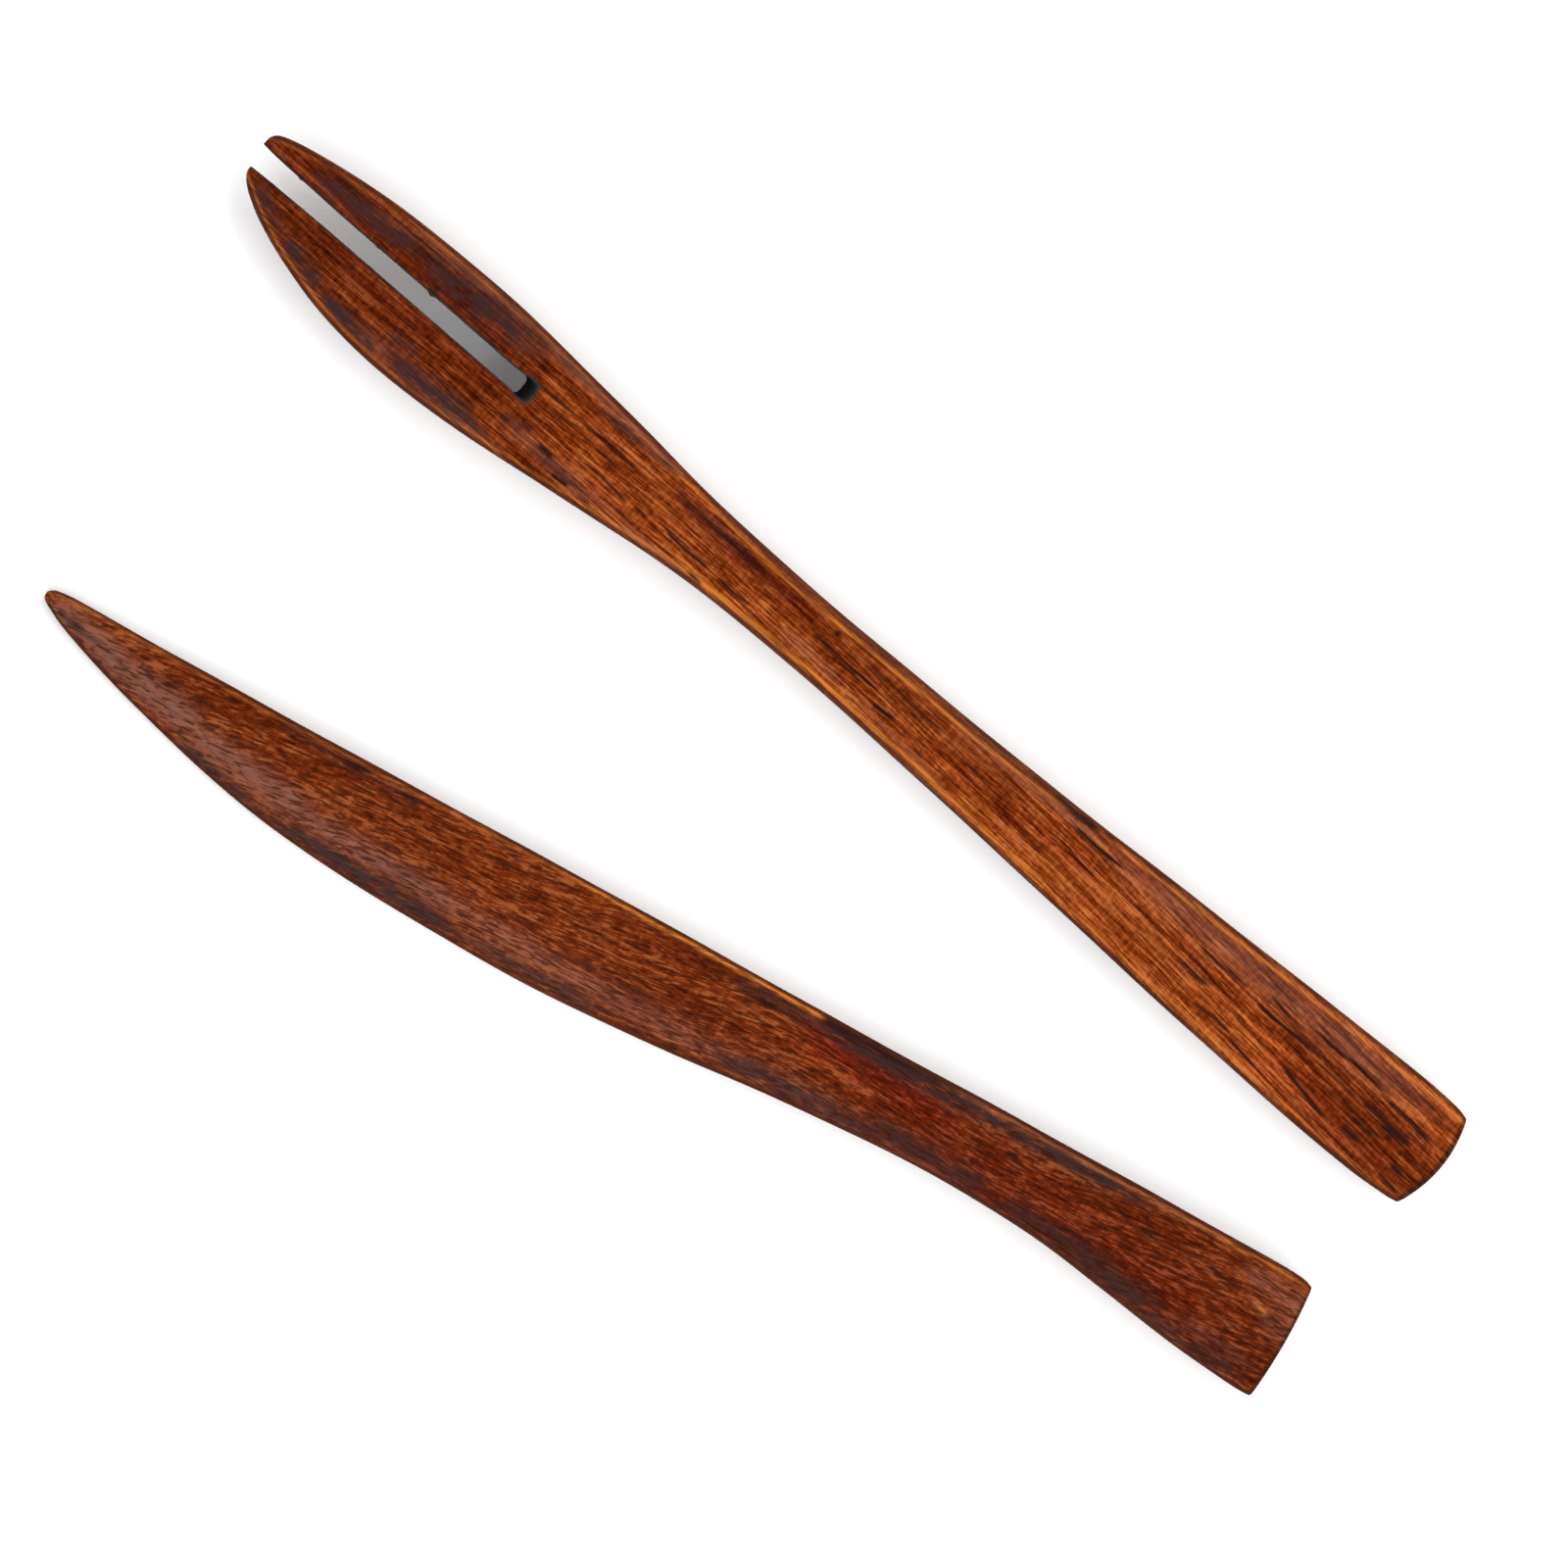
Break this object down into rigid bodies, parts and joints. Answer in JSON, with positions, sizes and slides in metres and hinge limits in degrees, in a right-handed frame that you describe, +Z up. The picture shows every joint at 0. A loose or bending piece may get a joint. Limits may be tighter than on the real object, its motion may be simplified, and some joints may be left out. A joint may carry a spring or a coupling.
{
  "type": "clay modeling tool",
  "caption": "Pair of slender carved hardwood clay modeling tools: a slotted, leaf-shaped fork with a flared handle and a knife with a straight back and a curved cutting edge.",
  "frame": {"origin": "on the table, under the middle of the box around the pair of tools", "axes": "+X along the fork from its tines to its butt, +Y from the knife towards the fork, +Z up from the table"},
  "size_m": [0.1754, 0.0632, 0.0058],
  "materials": {
    "fork_wood": "oiled reddish-brown hardwood, satin, with worn golden arrises",
    "knife_wood": "oiled dark reddish-brown hardwood, satin, with fine open pores"
  },
  "bodies": {
    "knife": {"knife_tool": "knife_wood"},
    "fork": {"fork_handle": "fork_wood", "fork_wide_tine": "fork_wood", "fork_narrow_tine": "fork_wood"}
  },
  "joints": [
    {"name": "fork_lift", "type": "slide", "parent": "knife", "child": "fork", "axis": [0, 0, 1], "range_m": [0, 0.04]}
  ]
}
